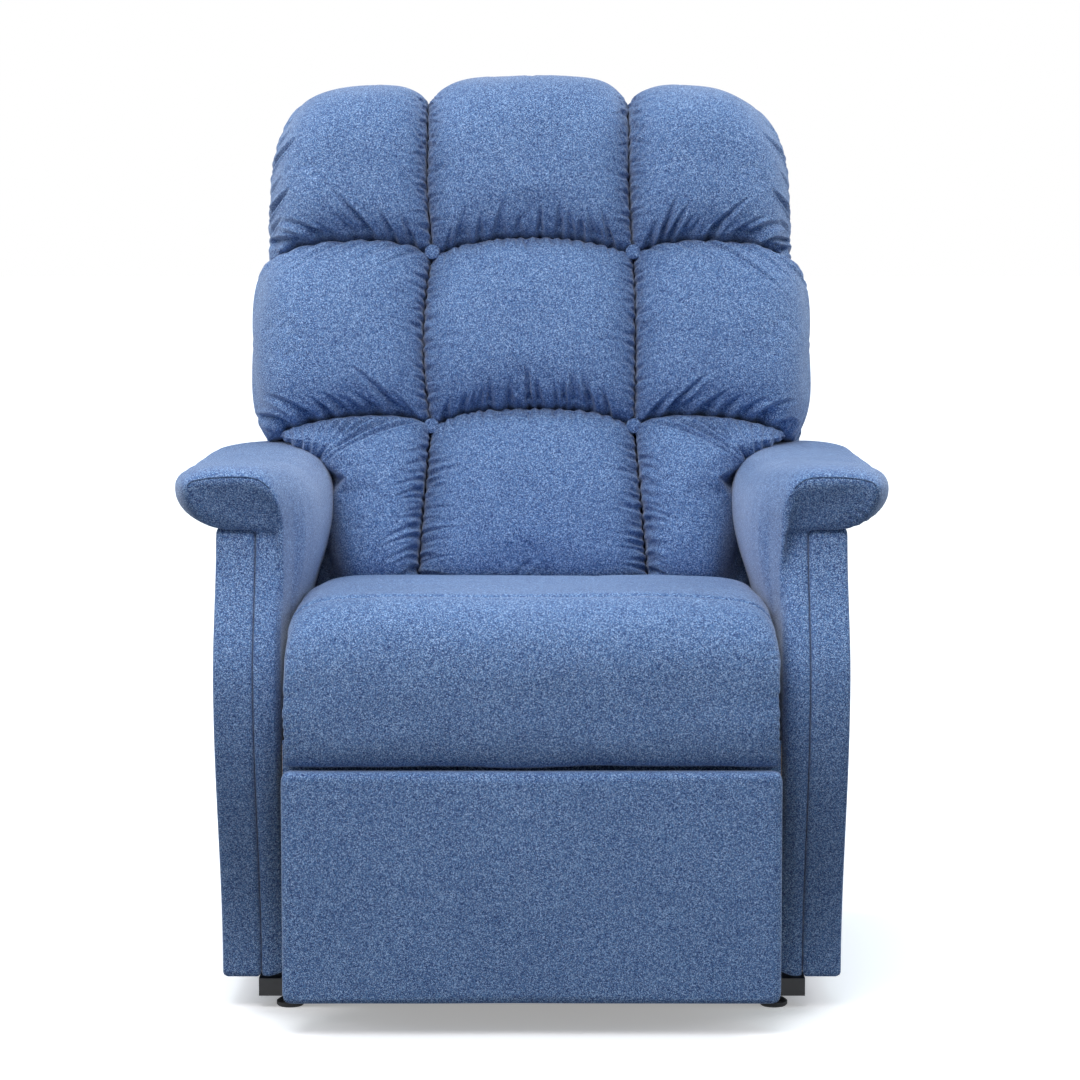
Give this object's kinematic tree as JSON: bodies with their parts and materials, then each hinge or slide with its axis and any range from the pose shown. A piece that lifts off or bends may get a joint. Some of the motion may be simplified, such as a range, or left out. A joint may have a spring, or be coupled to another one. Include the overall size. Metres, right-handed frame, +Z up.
{
  "type": "lift recliner chair",
  "caption": "Pillow-back lift recliner armchair: a tufted reclining back, a fold-out footrest and padded arms on a steel base that raises and tilts the whole seat.",
  "frame": {"origin": "on the floor under the middle of the chair's outline, with the chair closed and upright", "axes": "+X across the chair to the right as seen from the front, +Y to the back of the chair, +Z up; the chair faces -Y"},
  "size_m": [0.8638, 0.94, 1.1718],
  "materials": {
    "blue_fabric": "heathered blue woven upholstery, soft brushed surface",
    "black_steel": "black powder coat, satin",
    "zinc_steel": "zinc-plated steel, dull",
    "black_plastic": "moulded black plastic, fine matt grain",
    "pine": "sawn softwood and plywood, unfinished"
  },
  "bodies": {
    "base": {"base_side_rails": "black_steel", "base_cross_bars": "black_steel", "base_brackets": "black_steel", "base_glides": "black_plastic", "base_pivot_pins": "zinc_steel", "base_clevis": "black_steel"},
    "lift_arm": {"lift_arms": "black_steel", "lift_arm_tube": "black_steel"},
    "front_link": {"front_links": "black_steel"},
    "carriage": {"carriage_plates": "black_steel", "carriage_cross_tubes": "black_steel", "carriage_pivot_pins": "zinc_steel", "carriage_clevises": "black_steel", "seat_side_rails": "pine", "seat_cross_rails": "pine", "seat_springs": "zinc_steel", "seat_cushion": "blue_fabric", "arm_frames": "pine", "arm_bolts": "zinc_steel", "left_inner_panel": "blue_fabric", "right_inner_panel": "blue_fabric", "left_front_post": "blue_fabric", "right_front_post": "blue_fabric", "left_outer_panel": "blue_fabric", "right_outer_panel": "blue_fabric", "left_arm_pad": "blue_fabric", "right_arm_pad": "blue_fabric", "rear_apron": "blue_fabric", "control_box": "black_plastic"},
    "backrest": {"back_side_rails": "pine", "back_cross_rails": "pine", "back_springs": "zinc_steel", "back_brackets": "black_steel", "back_lever": "black_steel", "back_lever_pin": "zinc_steel", "back_rear_panel": "blue_fabric", "back_wings": "blue_fabric", "back_pillows_top": "blue_fabric", "back_pillows_middle": "blue_fabric", "back_pillows_bottom": "blue_fabric", "back_buttons": "blue_fabric"},
    "lift_actuator": {"lift_actuator_housing": "black_plastic", "lift_actuator_motor": "black_plastic", "lift_actuator_tube": "black_plastic"},
    "lift_rod": {"lift_actuator_rod": "zinc_steel"},
    "back_actuator": {"back_actuator_housing": "black_plastic", "back_actuator_motor": "black_plastic", "back_actuator_tube": "black_plastic"},
    "back_rod": {"back_actuator_rod": "zinc_steel"},
    "leg_drive": {"leg_drive_links": "black_steel", "leg_drive_tube": "black_steel", "leg_drive_pins": "zinc_steel"},
    "leg_front": {"leg_front_links": "black_steel", "leg_front_pins": "zinc_steel"},
    "leg_boom": {"leg_booms": "black_steel", "leg_boom_pins": "zinc_steel"},
    "leg_tilt": {"leg_tilt_links": "black_steel"},
    "footrest": {"footrest_brackets": "black_steel", "footrest_board": "pine", "footrest_pad": "blue_fabric"}
  },
  "joints": [
    {"name": "lift", "type": "hinge", "parent": "base", "child": "lift_arm", "pos_m": [0, -0.15, 0.15], "axis": [1, 0, 0], "range_deg": [0, 60]},
    {"name": "carriage_tilt", "type": "hinge", "parent": "lift_arm", "child": "carriage", "pos_m": [0, 0.14544, 0.09791], "axis": [1, 0, 0], "range_deg": [-34.1, 0]},
    {"name": "front_link_swing", "type": "hinge", "parent": "base", "child": "front_link", "pos_m": [0, -0.303, 0.116], "axis": [1, 0, 0], "range_deg": [0, 96.6]},
    {"name": "recline", "type": "hinge", "parent": "carriage", "child": "backrest", "pos_m": [0, 0.212, 0.38], "axis": [-1, 0, 0], "range_deg": [0, 40]},
    {"name": "footrest_lift", "type": "hinge", "parent": "carriage", "child": "leg_drive", "pos_m": [0, -0.2244, 0.274], "axis": [-1, 0, 0], "range_deg": [0, 84.54]},
    {"name": "leg_front_swing", "type": "hinge", "parent": "carriage", "child": "leg_front", "pos_m": [0, -0.2861, 0.2889], "axis": [-1, 0, 0], "range_deg": [0, 85.2]},
    {"name": "leg_boom_swing", "type": "hinge", "parent": "leg_drive", "child": "leg_boom", "pos_m": [0, -0.2049, 0.1281], "axis": [1, 0, 0], "range_deg": [0, 87.4]},
    {"name": "footrest_turn", "type": "hinge", "parent": "leg_boom", "child": "footrest", "pos_m": [0, -0.4101, 0.2726], "axis": [-1, 0, 0], "range_deg": [0, 92.8]},
    {"name": "leg_tilt_swing", "type": "hinge", "parent": "leg_front", "child": "leg_tilt", "pos_m": [0, -0.2643, 0.0926], "axis": [1, 0, 0], "range_deg": [0, 88.9]},
    {"name": "lift_actuator_swing", "type": "hinge", "parent": "base", "child": "lift_actuator", "pos_m": [0, -0.16, 0.112], "axis": [1, 0, 0], "range_deg": [0, 42.9]},
    {"name": "lift_rod_slide", "type": "slide", "parent": "lift_actuator", "child": "lift_rod", "axis": [0, 0.7155, 0.6986], "range_m": [0, 0.1345]},
    {"name": "back_actuator_swing", "type": "hinge", "parent": "carriage", "child": "back_actuator", "pos_m": [0, -0.1, 0.268], "axis": [1, 0, 0], "range_deg": [0, 0.74]},
    {"name": "back_rod_slide", "type": "slide", "parent": "back_actuator", "child": "back_rod", "axis": [0, 0.9907, 0.1363], "range_m": [-0.0481, 0]}
  ],
  "couplings": [
    {"joint": "carriage_tilt", "follows": "lift", "ratio": -0.56667},
    {"joint": "front_link_swing", "follows": "lift", "ratio": 1.6084},
    {"joint": "lift_actuator_swing", "follows": "lift", "ratio": 0.71388},
    {"joint": "lift_rod_slide", "follows": "lift", "m_per_rad": 0.12813},
    {"joint": "leg_front_swing", "follows": "footrest_lift", "ratio": 1.0065},
    {"joint": "leg_boom_swing", "follows": "footrest_lift", "ratio": 1.0317},
    {"joint": "footrest_turn", "follows": "footrest_lift", "ratio": 1.0963},
    {"joint": "leg_tilt_swing", "follows": "footrest_lift", "ratio": 1.0501},
    {"joint": "back_actuator_swing", "follows": "recline", "ratio": 0.0175},
    {"joint": "back_rod_slide", "follows": "recline", "m_per_rad": -0.06845}
  ]
}
